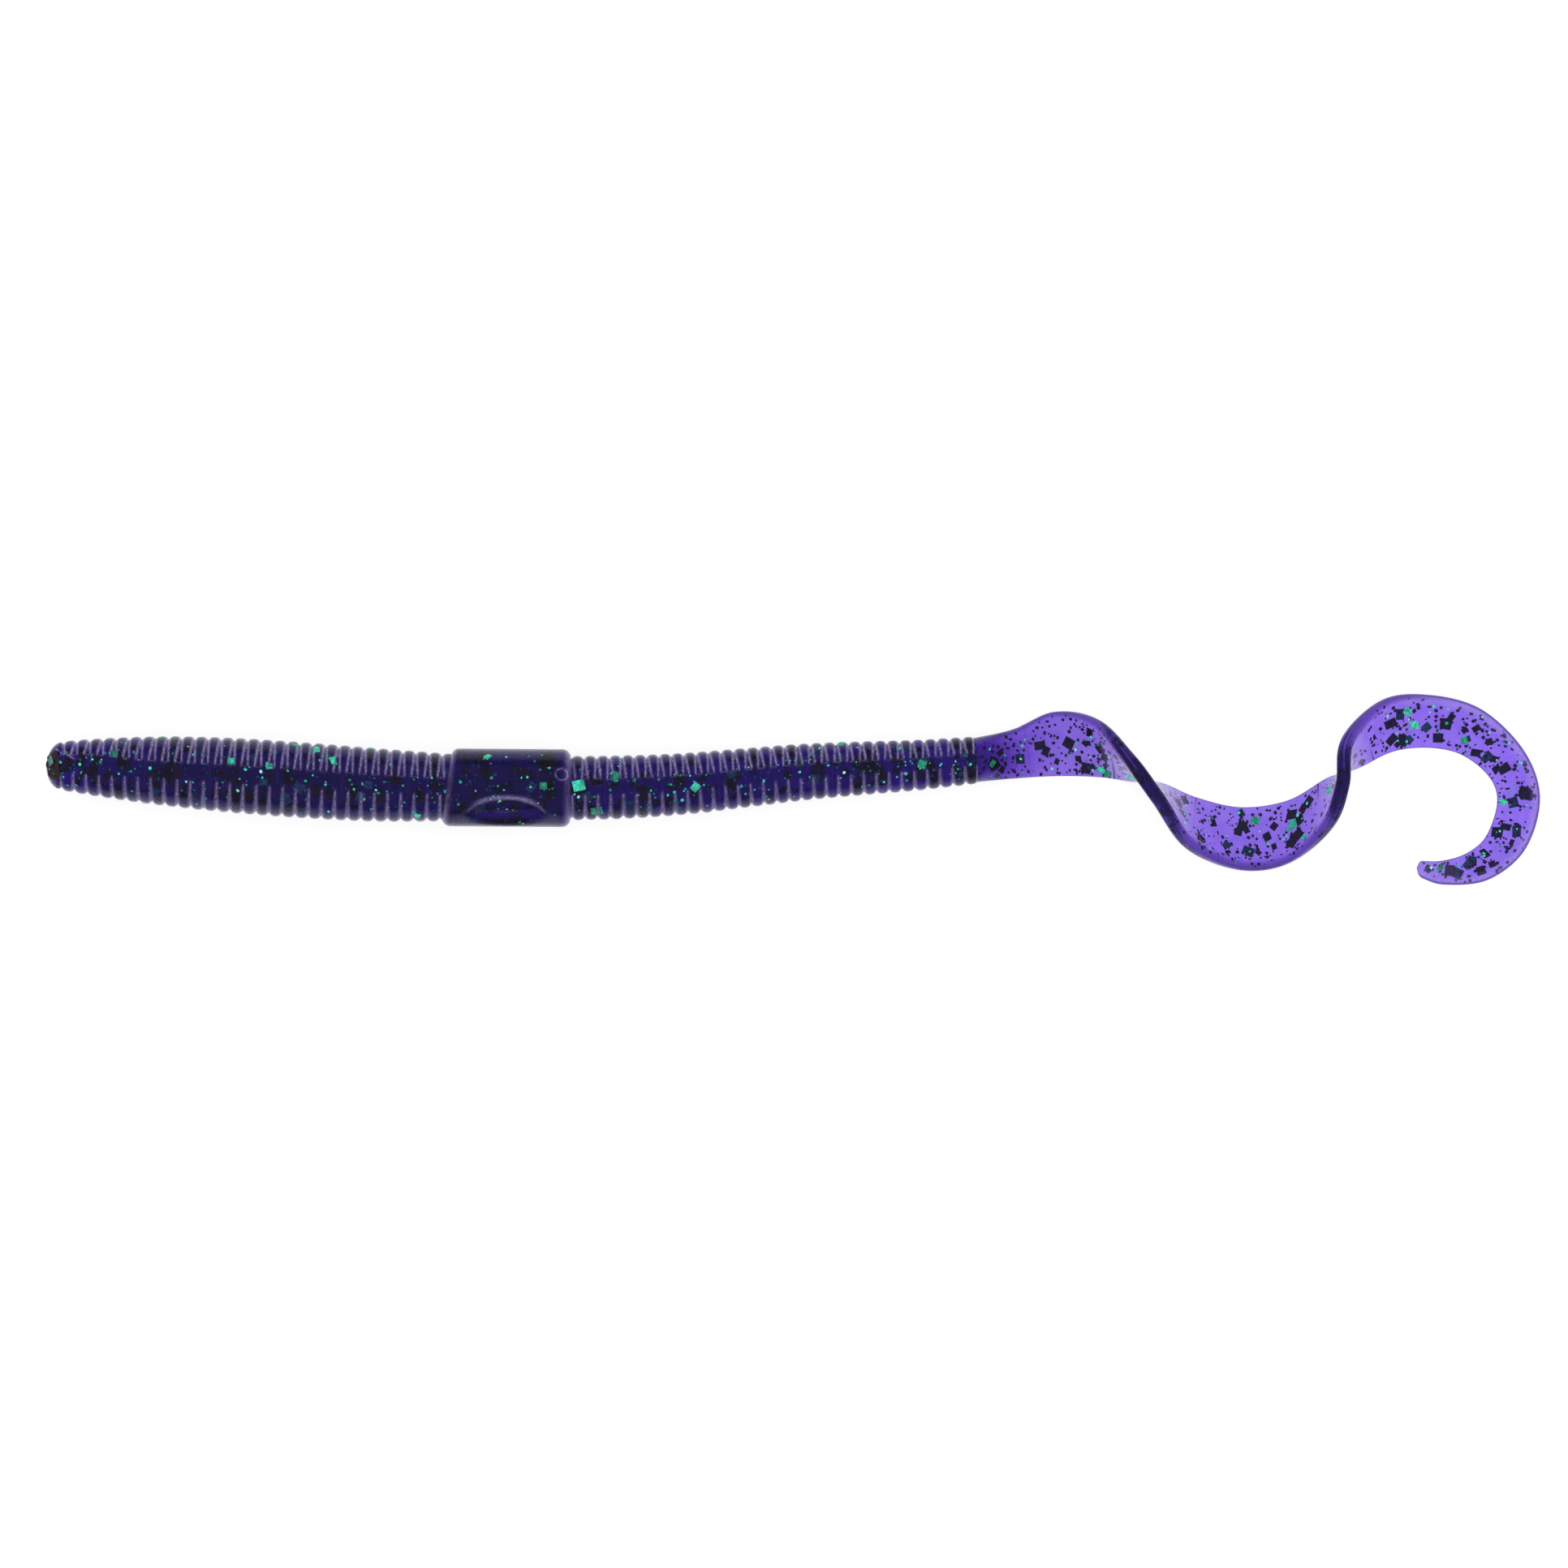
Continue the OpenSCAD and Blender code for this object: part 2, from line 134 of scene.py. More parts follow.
# The ribbon's edges, about every 5 mm along it, as part.scad has them
RIM_EDGE = np.array([
    [18.7, 5.3, 2.8], [22.6, 6.2, 1.6], [26.8, 8, 1], [31, 7.2, 3.2], [34.2, 3.6, 6.1],
    [37.4, -1.1, 6.5], [40.6, -5.9, 4.5], [45.8, -8.25, 1.25], [50.9, -7.55, 1.25], [54.8, -3.95, 4],
    [56.3, 0.4, 6], [56.7, 5.2, 5], [60.4, 9.15, 1.9], [65.2, 9.75, 0.9], [70.6, 8.3, 0.75],
    [75, 4.1, 0.6], [76.7, -0.8, 0.5], [75.2, -6.1, 0.5], [71.4, -9.25, 0.4], [66.8, -9.75, 0.4],
    [64, -8.85, 0.35],
])
THIN_EDGE = np.array([
    [19, 0.8, 2.2], [23.4, 1.2, 0.9], [27.4, 1.4, 0.3], [31.4, 1.3, 0.2], [34.6, 0.9, 0.2],
    [37.9, 0.6, 0.2], [41.4, -0.8, 0.2], [46, -1.8, 0.2], [50.8, -1.1, 0.2], [54.7, 1.1, 0.2],
    [56.1, 1.6, 0.2], [58.2, 2.3, 0.2], [61.6, 3.9, 0.2], [65.2, 4.3, 0.2], [68.6, 3.6, 0.2],
    [71.4, 1.4, 0.2], [72.3, -1.2, 0.2], [71.2, -4.7, 0.2], [69.2, -6.5, 0.2], [66.6, -7.3, 0.2],
    [64.1, -7.3, 0.2],
])
TAIL = ["tail_root", "tail_1", "tail_2", "tail_3", "tail_4", "tail_5", "tail_6", "tail_7", "tail_tip"]
TAIL_CUTS = [0.1, 2.4, 4.6, 7.4, 10.1, 12.8, 14.6, 16.4, 18.2, 20]
RIM_PLACES = [2, 3, 4.4, 6.4, 7.6, 9, 11, 12.6, 14]
RIM_HALVES = [0.42, 0.54, 0.72, 0.7, 0.58, 0.7, 0.72, 0.44, 0.3]  # half the rim's thickness at those places
RIM_WIDTH = 0.62  # the rim's width over its thickness
RIM_RIDGES = 6.0  # lengthwise ridges round half of the rim
RIDGE_SHARE = 0.07  # their height over half the rim's thickness
RIDGES_END = 13.0  # where along the ribbon they have faded
TIP_FROM = 19.8  # where its end begins to round off
EDGE_T = 0.34
WEB_T = 0.54
EDGE_ROUND = 0.22  # how far from the thin edge its rounding reaches
ROOT_R = 2.25
ROOT_FADES = 2.4  # where along the ribbon its round root has become a web
RIM_FULL_SHADE = 0.46  # half the rim's thickness where its painted shade is full
RIM_NO_SHADE = 0.32  # and where it has none, as on the web
RIM_LINES = (0.42, 0.24)  # a painted dark line of shade along the rim's very edge, before the curl and in it
# how dark the painted shade along the thin edge gets
EDGE_SHADE = 0.85
EDGE_LINE = 0.18  # the same painted dark line along the thin edge
TWIST_FROM = 2.0  # the haze and painted sheen of the two twists begin here
TWIST_TO = 12.0
TWIST_HAZE_AND_SHEEN = 0.6
CURL_FROM = 11.5  # the haze along the curl's rim begins here
CURL_HAZE = 0.4
TIP_HAZE_FROM = 18.0
TIP_HAZE = 0.3

# How finely the skin is divided
STEPS_PER_RING = 20  # cross-sections
BUNCHING = 0.55  # how much closer together they are in the grooves
AROUND = 120
RIBBON_STEP = 0.22  # millimetres between the ribbon's cross-sections
ACROSS = 66  # points across one face of the ribbon
SACK_ALONG = 140
SACK_AROUND = 300
SACK_CORNER = 12
SCAR_AROUND = 48


def mix(a, b, t):
    return a + (b - a) * t


def ease(t):
    u = np.clip(t, 0, 1)
    return u * u * (3 - 2 * u)


def bell(off, width):
    return np.exp(-((off / width) ** 2))


def unit(v):
    return v / np.linalg.norm(v, axis=-1, keepdims=True)


def straddle(centre, at):
    """The vector from just before a place to just behind it."""
    return centre(at + NUDGE) - centre(at - NUDGE)


# ---------------------------------------------------------------- the body's shape


def hermite(places, points, at):
    """A smooth curve through points that lie at the given places along it."""
    slopes = np.gradient(points, places, axis=0)
    i = np.clip(np.searchsorted(places, at, side="right") - 1, 0, len(places) - 2)
    h = (places[i + 1] - places[i])[:, None]
    u = (at - places[i])[:, None] / h
    return (
        (2 * u**3 - 3 * u**2 + 1) * points[i]
        + (u**3 - 2 * u**2 + u) * h * slopes[i]
        + (3 * u**2 - 2 * u**3) * points[i + 1]
        + (u**3 - u**2) * h * slopes[i + 1]
    )


def joint_point(child):
    return np.array(JOINTS[child]["pos_m"]) / MM


class Branch:
    """The ringed body on one side of the egg sack. s is the distance from the egg sack."""

    def __init__(self, names, end, rings, pitch, cap, forward):
        self.pitch = pitch
        self.forward = forward
        self.places = np.concatenate([[0.0], np.cumsum(rings)]) * pitch
        self.ringed = self.places[-1]
        self.places[-1] += cap
        self.points = np.array([*(joint_point(n) for n in names), end])

    def middles(self):
        """The middle of each zone's rings."""
        ends = np.append(self.places[1:-1], self.ringed)
        return (self.places[:-1] + ends) / 2

    def centre(self, s):
        return hermite(self.places, self.points, s)

    def axes(self, s):
        """Unit vectors up and sideways (+Y) across the body at s, and along it."""
        tangent = unit(straddle(self.centre, s))
        side = unit(np.array([0.0, 1, 0]) - tangent * tangent[:, 1:2])
        up = np.cross(tangent, side) * self.forward
        return unit(up), side, tangent

    def radius(self, s, phi):
        return self.crest(s) - ring_depth(s / self.pitch, phi, self.wider(s))

    def wider(self, s):
        return 0 * s

    def extra_haze_and_highlight(self, s, phi):
        return 0.0

    def point(self, s, phi, depth=0.0):
        """The skin's point at distance s, turned phi degrees from the top towards +Y."""
        up, side, _ = self.axes(s)
        a = np.radians(phi)[:, None]
        r = (self.radius(s, phi) - depth)[:, None]
        return self.centre(s) + (up * np.cos(a) + side * np.sin(a)) * r


def ring_parts(rings, phi, wider):
    """How many rings away the nearest groove is, how many degrees away the smooth band's two edges are,
    and how near those are, from 0 to 1. The band is wider by the given degrees on the fingers' side."""
    e = np.abs(rings - np.round(rings))
    lat = np.degrees(np.arcsin(np.clip(np.abs(np.sin(np.radians(phi))), 0, 1)))
    upper, lower = BAND_UPPER + wider, BAND_LOWER + wider / 3
    near_band = 1 - np.clip((lat - upper) / (FINGERS_DOWN - upper), 0, 1)
    near_slit = 1 - np.clip((lat - lower) / (SLITS_DOWN - lower), 0, 1)
    return e, lat - upper, lat - lower, near_band, near_slit


def ring_depth(rings, phi, wider):
    """How far the skin lies under the crests. Towards +Y the rings are fingers that narrow to the smooth
    band, and towards -Y they are split by narrow slits."""
    e, past_upper, past_lower, near_band, near_slit = ring_parts(rings, phi, wider)
    floor = FLOOR_AT_BAND * near_band**1.3
    wall = np.minimum(mix(*WALLS, near_band**0.6), 0.5 - floor)
    rise = np.clip((e - floor) / wall, 0, 1)
    finger = (1 - rise) ** mix(*WALL_POWERS, near_band) * ease(past_upper / FADE_UPPER)
    slit = (1 - 2 * e) ** mix(*SLIT_POWERS, near_slit**0.5) * ease(past_lower / FADE_LOWER)
    return GROOVE * np.where(np.sin(np.radians(phi)) > 0, finger, slit)


def ring_haze_and_highlight(rings, phi, wider):
    """Pale haze and painted highlight, on the fingers' walls and in the slits."""
    e, past_upper, past_lower, near_band, near_slit = ring_parts(rings, phi, wider)
    # partly a painted highlight where light would catch the steep walls
    off_wall = e - mix(*WALL_HAZE_AND_HIGHLIGHT_AT, near_band**1.2)
    finger = bell(off_wall, mix(*WALL_HAZE_AND_HIGHLIGHT_WIDTHS, near_band)) * ease(past_upper / FADE_UPPER)
    slit = bell(e, mix(*SLIT_HAZE_AND_HIGHLIGHT_WIDTHS, near_slit)) * ease(past_lower / FADE_LOWER)
    return np.where(np.sin(np.radians(phi)) > 0, finger, slit)


class Front(Branch):
    def crest(self, s):
        near = FRONT_R - WAIST_DROP * (np.clip(FATTEST - s, 0, None) / WAIST_LEN) ** 2
        return near - NOSE_DROP * (np.clip(s - FATTEST, 0, None) / NOSE_TAPER) ** 2.3

    def dome(self, s):
        """How far along the nose's rounded end a point is, from 0 to 1."""
        return np.clip((s - self.ringed - DOME_FROM) / NOSE_DOME, 0, 1)

    def radius(self, s, phi):
        last_crest = self.ringed + self.pitch / 2
        ringed = super().radius(np.minimum(s, last_crest), phi)
        return ringed * np.sqrt(np.clip(1 - self.dome(s) ** 2, 0.03, 1)) - NOSE_CREASE * self.crease(s, phi)

    def wider(self, s):
        return BAND_WIDER * ease((s - BAND_WIDENS) / BAND_WIDENING)

    def crease(self, s, phi):
        """How near a point is to the bottom of the crease in the nose."""
        ahead = s - self.ringed
        off = np.radians(phi - NOSE_CREASE_SIDE - NOSE_CREASE_TURN * ahead) * self.crest(s)
        begins = ease((ahead + CREASE_BEHIND) / 0.8)
        ends = ease((CREASE_AHEAD - ahead) / 0.4)
        return bell(off, NOSE_CREASE) * begins * ends

    def extra_haze_and_highlight(self, s, phi):
        # the crease's haze, and a painted highlight over the nose's rounded end
        return CREASE_HAZE * self.crease(s, phi) + DOME_HIGHLIGHT * ease((self.dome(s) - 0.35) / 0.25)

    def cut(self):
        """The oblique flat where the worm was cut off: its middle, its own two half axes, its normal, how
        far the rounded end would reach along that, and the flat's size as a share of the rounded end's."""
        at = np.array([self.ringed + DOME_FROM])
        up, side, tangent = (v[0] for v in self.axes(at))
        long, round_r = NOSE_DOME, self.crest(at)[0]
        c, d = np.cos(np.radians(NOSE_CUT_UP)), np.sin(np.radians(NOSE_CUT_UP))
        normal = tangent * c + up * d
        reach = np.hypot(long * c, round_r * d)
        top = self.centre(at)[0] + (tangent * long**2 * c + up * round_r**2 * d) / reach
        middle = top - normal * NOSE_CUT
        share = np.sqrt(1 - (1 - NOSE_CUT / reach) ** 2)
        high = np.cross(normal, side) * long * round_r / reach * share
        return middle, side * round_r * share, high, normal, reach, share

    def point(self, s, phi, depth=0.0):
        points = super().point(s, phi, depth)
        middle, _, _, normal, _, _ = self.cut()
        over = np.clip((points - middle) @ normal, 0, None) * (s > self.ringed - 1)
        return points - normal * over[:, None] * FLATTENED


class Rear(Branch):
    def crest(self, s):
        return REAR_R - REAR_DROP * (np.clip(s, 0, None) / REAR_TAPER) ** 1.5


nose_end = np.array(frame["record"]["mounts"][0]["pos_m"]) / MM
front = Front(FRONT, nose_end, FRONT_RINGS, FRONT_PITCH, NOSE_CAP, -1)
rear = Rear(REAR, joint_point("tail_root"), REAR_RINGS, REAR_PITCH, 0.0, 1)


# ---------------------------------------------------------------- the ribbon's shape


def spline(points, t):
    t = np.asarray(t, float)
    last = len(points) - 1
    i = np.clip(np.floor(t).astype(int), 0, last - 1)
    u = (t - i)[..., None]
    padded = np.vstack([2 * points[0] - points[1], points, 2 * points[last] - points[last - 1]])
    a, b, c, d = padded[i], padded[i + 1], padded[i + 2], padded[i + 3]
    return 0.5 * (2 * b + (c - a) * u + (2 * a - 5 * b + 4 * c - d) * u**2 + (3 * b - a - 3 * c + d) * u**3)


def ribbon_mid(t):
    return (spline(RIM_EDGE, t) + spline(THIN_EDGE, t)) / 2


def ribbon_axes(t):
    """Unit vectors along the ribbon, across it to the rim, and out of its face, and its width."""
    across = spline(RIM_EDGE, t) - spline(THIN_EDGE, t)
    width = np.linalg.norm(across, axis=-1)
    along = unit(straddle(ribbon_mid, t))
    across = unit(across)
    return along, across, unit(np.cross(along, across)), width


def ribbon_step(t):
    """Millimetres along the ribbon for one step of t."""
    return np.linalg.norm(straddle(ribbon_mid, t)) / (2 * NUDGE)


def rim_half(t):
    return np.interp(t, RIM_PLACES, RIM_HALVES)


def ribbon_half(t, v, width):
    """Half the thickness at share v of the width, from the thin edge to the rim."""
    r = np.minimum(rim_half(t), width / 3)
    d = v * width
    wide = r * RIM_WIDTH
    web = mix(EDGE_T, WEB_T, ease(d / (0.6 * width))) / 2
    web = web * np.sqrt(np.clip(1 - (1 - np.clip(d / EDGE_ROUND, 0, 1)) ** 2, 0.02, 1))
    inside = width - wide - d
    past = np.clip(-inside, 0, wide) / wide
    bead = r * np.sqrt(np.clip(1 - past**2, 0.015, 1))
    ridges = RIDGE_SHARE * np.cos(RIM_RIDGES * np.arcsin(past) * 2)
    bead = bead * (1 + ridges * ease((RIDGES_END - t) / 2))
    shoulder = mix(bead, web, ease(inside / (3.2 * wide)))
    thin = np.where(inside > 0, shoulder, bead)
    root = ROOT_R * np.sqrt(np.clip(1 - (2 * v - 1) ** 2, 0.002, 1))
    return mix(thin, np.maximum(thin, root), np.clip(1 - t / ROOT_FADES, 0, 1) ** 2)


def ribbon_point(t, v, side, depth=0.0):
    """A point of the ribbon's face on the given side (1 or -1), or depth below it."""
    _, across, face, width = ribbon_axes(t)
    past = np.clip((t - TIP_FROM) / (TAIL_CUTS[-1] - TIP_FROM), 0, 0.995)
    round_off = np.sqrt(np.clip(1 - past**2, 0, 1))
    out = (0.5 + (v - 0.5) * round_off) * width
    up = (ribbon_half(t, v, width) - depth) * side * np.sqrt(round_off)
    return spline(THIN_EDGE, t) + across * out[..., None] + face * up[..., None]


# ---------------------------------------------------------------- meshes


def new_object(name, verts, faces, material, smooth=True):
    mesh = bpy.data.meshes.new(name)
    mesh.from_pydata((np.asarray(verts) * MM).tolist(), [], faces)
    if smooth:
        mesh.shade_smooth()
    mesh.materials.append(material)
    mesh.validate()
    obj = bpy.data.objects.new(name, mesh)
    bpy.context.scene.collection.objects.link(obj)
    return obj


def skin(name, rings, material, flat=False):
    """A closed tube through rings of points, with sharp-edged ends. A flat tube's ends are strips across."""
    count, n = rings.shape[:2]
    a = np.arange(count - 1)[:, None] * n + np.arange(n)[None]
    b = np.arange(count - 1)[:, None] * n + (np.arange(n)[None] + 1) % n
    quads = np.stack([a, a + n, b + n, b], axis=-1).reshape(-1, 4).tolist()
    if flat:
        strip = [[j, j + 1, n - 1 - j, (n - j) % n] for j in range(n // 2)]
        strip = [list(dict.fromkeys(face)) for face in strip]
    else:
        strip = [list(range(n))]
    last_ring = (count - 1) * n
    last = [[last_ring + j for j in face][::-1] for face in strip]
    obj = new_object(name, rings.reshape(-1, 3), quads + strip + last, material)
    for edge in obj.data.edges:
        a, b = edge.vertices
        at_an_end = max(a, b) < n or min(a, b) >= last_ring
        if at_an_end and abs(a - b) in (1, n - 1):
            edge.use_edge_sharp = True
    return obj


def bend(obj):
    """Bakes obj's placement into its mesh."""
    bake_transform(obj)


def ring_places(branch, lo, hi):
    """Where the skin of a stretch of body has its rings of points: closer together in the grooves."""
    even = np.linspace(lo, hi, round((hi - lo) / branch.pitch * STEPS_PER_RING) + 1) / branch.pitch
    bunched = even - BUNCHING * np.sin(2 * np.pi * even) / (2 * np.pi)
    s = np.where(even * branch.pitch < branch.ringed, bunched, even) * branch.pitch
    s[0], s[-1] = lo, hi
    return s[::branch.forward]


def body_rings(branch, s):
    phi = np.arange(AROUND) * 360 / AROUND
    return branch.point(np.repeat(s, AROUND), np.tile(phi, len(s))).reshape(len(s), AROUND, 3)


def body_haze_and_highlight(branch, s):
    """How much pale haze and painted highlight each point of body_rings has."""
    s = s[:, None]
    phi = np.arange(AROUND) * 360 / AROUND
    haze_and_highlight = ring_haze_and_highlight(s / branch.pitch, phi, branch.wider(s)) * ease((branch.ringed - s) / 0.2 + 1)
    return np.clip(haze_and_highlight + branch.extra_haze_and_highlight(s, phi), 0, 1)


def mark(piece, name, values):
    """Stores one number for each point of a skin, for its material."""
    stored = piece.data.attributes.new(name, "FLOAT", "POINT")
    stored.data.foreach_set("value", np.ascontiguousarray(values, dtype=np.float32).ravel())


# ---------------------------------------------------------------- materials

# pale lavender for a milky haze and for painted highlights and sheen
HAZE_AND_HIGHLIGHT = (0.74, 0.67, 0.9)


def material(name):
    mat = bpy.data.materials.new(name)
    mat.use_nodes = True
    tree = mat.node_tree
    shader = tree.nodes["Principled BSDF"]
    return mat, tree, shader


def noise(tree, scale, detail=3.0, rough=0.55):
    coords = tree.nodes.new("ShaderNodeTexCoord")
    node = tree.nodes.new("ShaderNodeTexNoise")
    node.inputs["Scale"].default_value = scale
    node.inputs["Detail"].default_value = detail
    node.inputs["Roughness"].default_value = rough
    tree.links.new(coords.outputs["Object"], node.inputs["Vector"])
    return node


def ramp(tree, value, stops):
    node = tree.nodes.new("ShaderNodeValToRGB")
    elements = node.color_ramp.elements
    for element, (place, colour) in zip(elements, stops):
        element.position = place
        element.color = (*colour, 1)
    tree.links.new(value, node.inputs["Fac"])
    return node.outputs["Color"]


def attribute(tree, name):
    node = tree.nodes.new("ShaderNodeAttribute")
    node.attribute_name = name
    return node


def colour_mix(tree, share, a, b):
    node = tree.nodes.new("ShaderNodeMix")
    node.data_type = "RGBA"
    for value, name in ((share, "Factor"), (a, "A"), (b, "B")):
        socket = node.inputs[name]
        if isinstance(value, tuple):
            socket.default_value = (*value, 1)
        else:
            tree.links.new(value, socket)
    return node.outputs["Result"]


def map_range(tree, value, low, high, to_low, to_high):
    node = tree.nodes.new("ShaderNodeMapRange")
    for name, number in zip(("From Min", "From Max", "To Min", "To Max"), (low, high, to_low, to_high)):
        node.inputs[name].default_value = number
    tree.links.new(value, node.inputs["Value"])
    return node.outputs["Result"]


def add_bump(tree, shader, height, strength, distance):
    bump = tree.nodes.new("ShaderNodeBump")
    bump.inputs["Strength"].default_value = strength
    bump.inputs["Distance"].default_value = distance
    tree.links.new(height, bump.inputs["Height"])
    tree.links.new(bump.outputs["Normal"], shader.inputs["Normal"])


def plastisol(name, roughness, tints, painted_shade_colour, dye_colour, dye_density):
    """Soft clear vinyl with a violet dye. Its mesh attributes say where it is darkened by painted shade, as
    along the rim, and where a pale haze and painted highlights lie on it, as in the grooves."""
    mat, tree, shader = material(name)
    shader.inputs["IOR"].default_value = 1.46
    cloudy = noise(tree, 900)
    clear = ramp(tree, cloudy.outputs["Fac"], [(0.3, tints[0]), (0.7, tints[1])])
    # the painted shade colour, mixed in where the mesh says
    tint_and_shade = colour_mix(tree, attribute(tree, "painted_shade").outputs["Fac"], clear, painted_shade_colour)
    grain = noise(tree, 6000, 2.0)
    mottle = noise(tree, 3600, 4.0, 0.7)
    haze_and_highlight = tree.nodes.new("ShaderNodeMath")
    haze_and_highlight.operation = "MULTIPLY"
    tree.links.new(attribute(tree, "haze_and_highlight").outputs["Fac"], haze_and_highlight.inputs[0])
    tree.links.new(map_range(tree, mottle.outputs["Fac"], 0.4, 0.6, 0.45, 1), haze_and_highlight.inputs[1])
    tree.links.new(colour_mix(tree, haze_and_highlight.outputs[0], tint_and_shade, HAZE_AND_HIGHLIGHT), shader.inputs["Base Color"])
    tree.links.new(map_range(tree, haze_and_highlight.outputs[0], 0, 1, 1, 0.4), shader.inputs["Transmission Weight"])
    shader.inputs["Specular Tint"].default_value = (0.35, 0.32, 0.5, 1)
    shader.inputs["Sheen Weight"].default_value = 0.8
    shader.inputs["Sheen Roughness"].default_value = 0.24
    shader.inputs["Sheen Tint"].default_value = (0.8, 0.7, 1, 1)
    rough = map_range(tree, grain.outputs["Fac"], 0, 1, roughness - 0.05, roughness + 0.07)
    tree.links.new(rough, shader.inputs["Roughness"])
    add_bump(tree, shader, grain.outputs["Fac"], 0.12, 0.0001)
    dye = tree.nodes.new("ShaderNodeVolumeAbsorption")
    dye.inputs["Color"].default_value = (*dye_colour, 1)
    dye.inputs["Density"].default_value = dye_density
    tree.links.new(dye.outputs["Volume"], tree.nodes["Material Output"].inputs["Volume"])
    return mat


def torn_plastic():
    """The rough dark scar where the worm was cut from its mould's sprue."""
    mat, tree, shader = material("torn_plastisol")
    crumbs = noise(tree, 2200, 5.0, 0.7)
    stops = [(0.35, (0.003, 0.002, 0.004)), (0.6, (0.03, 0.016, 0.02))]
    tree.links.new(ramp(tree, crumbs.outputs["Fac"], stops), shader.inputs["Base Color"])
    shader.inputs["Roughness"].default_value = 0.42
    shader.inputs["Specular IOR Level"].default_value = 0.2
    add_bump(tree, shader, crumbs.outputs["Fac"], 0.5, 0.0002)
    return mat


def flake_metal():
    mat, tree, shader = material("glitter_metal")
    tint = attribute(tree, "tint")
    worn = noise(tree, 3000)
    shade = ramp(tree, worn.outputs["Fac"], [(0.35, (0.45, 0.45, 0.45)), (0.6, (1, 1, 1))])
    product = tree.nodes.new("ShaderNodeMix")
    product.data_type = "RGBA"
    product.blend_type = "MULTIPLY"
    product.inputs["Factor"].default_value = 1
    tree.links.new(tint.outputs["Color"], product.inputs["A"])
    tree.links.new(shade, product.inputs["B"])
    tree.links.new(product.outputs["Result"], shader.inputs["Base Color"])
    shader.inputs["Metallic"].default_value = 0.35
    shader.inputs["Roughness"].default_value = 0.4
    return mat


BODY_PLASTIC = plastisol(
    "body_plastisol", roughness=0.2, tints=((0.27, 0.15, 0.82), (0.35, 0.2, 0.95)), painted_shade_colour=(0.1, 0.07, 0.3),
    dye_colour=(0.54, 0.0, 0.75), dye_density=1380,
)
TAIL_PLASTIC = plastisol(
    "tail_plastisol", roughness=0.16, tints=((0.32, 0.21, 0.9), (0.42, 0.27, 1)), painted_shade_colour=(0.1, 0.075, 0.28),
    dye_colour=(0.43, 0.0, 0.8), dye_density=600,
)
GLITTER = flake_metal()
TORN = torn_plastic()


# ---------------------------------------------------------------- the egg sack's shape

sack_front, sack_rear = joint_point("front_1"), joint_point("rear_1")
sack_middle = (sack_front + sack_rear) / 2
sack_middle[2] = SACK_R
sack_along = unit(sack_rear[:2] - sack_front[:2])


def round_from(side, phi):
    """Millimetres round the sleeve from the given side, from half a turn back to half a turn on."""
    return np.radians((phi - side + 180) % 360 - 180) * SACK_R


def scoop_place(x, phi):
    """0 in the scoop's middle and 1 at its edge, and how much a point is in its upper half."""
    across = round_from(SCOOP_SIDE, phi)
    return np.hypot(x / SCOOP_REACH, across / SCOOP_HALF), ease(0.5 + across / 1.6)


def dimple_place(x, phi):
    return np.hypot(x - DIMPLE_X, round_from(DIMPLE_SIDE, phi)) / DIMPLE_R


def sack_radius(x, phi):
    """The sleeve: round at its ends, with a scoop low on one side under an arch, and a small round mark."""
    past = np.clip(np.abs(x) - (SACK_LEN / 2 - SACK_ROUND), 0, SACK_ROUND)
    r = SACK_R - SACK_ROUND + np.sqrt(np.clip(SACK_ROUND**2 - past**2, 0, None))
    ellipse, upper = scoop_place(x, phi)
    scoop = SCOOP_DEPTH * ease((1 - ellipse) / mix(*SCOOP_WALLS, upper))
    lip = SCOOP_LIP * bell(ellipse - 1.1, 0.08) * upper
    off = dimple_place(x, phi)
    dimple = DIMPLE_DEPTH * ease((0.95 - off) / 0.4) - DIMPLE_EDGE * bell(off - 1.05, 0.14)
    return r - scoop + lip - dimple


def sack_haze_and_highlight(x, phi):
    """Pale haze round the small mark, and painted highlights along the arch over the scoop and on the
    sleeve's two ends, stronger on its sides.
    """
    ellipse, upper = scoop_place(x, phi)
    # painted highlight along the arch
    arch = ARCH_HIGHLIGHT * bell(ellipse - 1.0, 0.11) * upper * ease((0.95 - np.abs(x) / SCOOP_REACH) / 0.5)
    ring = DIMPLE_HAZE * bell(dimple_place(x, phi) - 1, 0.14)
    # painted highlights on the sleeve's ends, stronger on its sides
    sideways = 0.6 + 0.4 * np.abs(np.sin(np.radians(phi)))
    ends = END_HIGHLIGHT * ease((np.abs(x) - SACK_LEN / 2 + SACK_ROUND) / 0.6) * sideways
    return np.clip(arch + ring + ends, 0, 1)


def sack_point(x, phi, depth=0.0):
    a = np.radians(phi)
    r = sack_radius(x, phi) - depth
    x = x + SACK_SLANT * ease(-0.35 - x / SACK_LEN * 2.7) * (1 + np.sin(a)) / 2
    return np.stack([
        sack_middle[0] + x * sack_along[0] - r * np.sin(a) * sack_along[1],
        sack_middle[1] + x * sack_along[1] + r * np.sin(a) * sack_along[0],
        sack_middle[2] + r * np.cos(a),
    ], axis=-1)


# ---------------------------------------------------------------- glitter

BLACK_GREEN = (0.003, 0.03, 0.027)
DARK_VIOLET = (0.012, 0.006, 0.035)
EMERALD = (0.01, 0.3, 0.17)
TEAL = (0.01, 0.36, 0.23)
DULL_TEAL = (0.09, 0.28, 0.28)
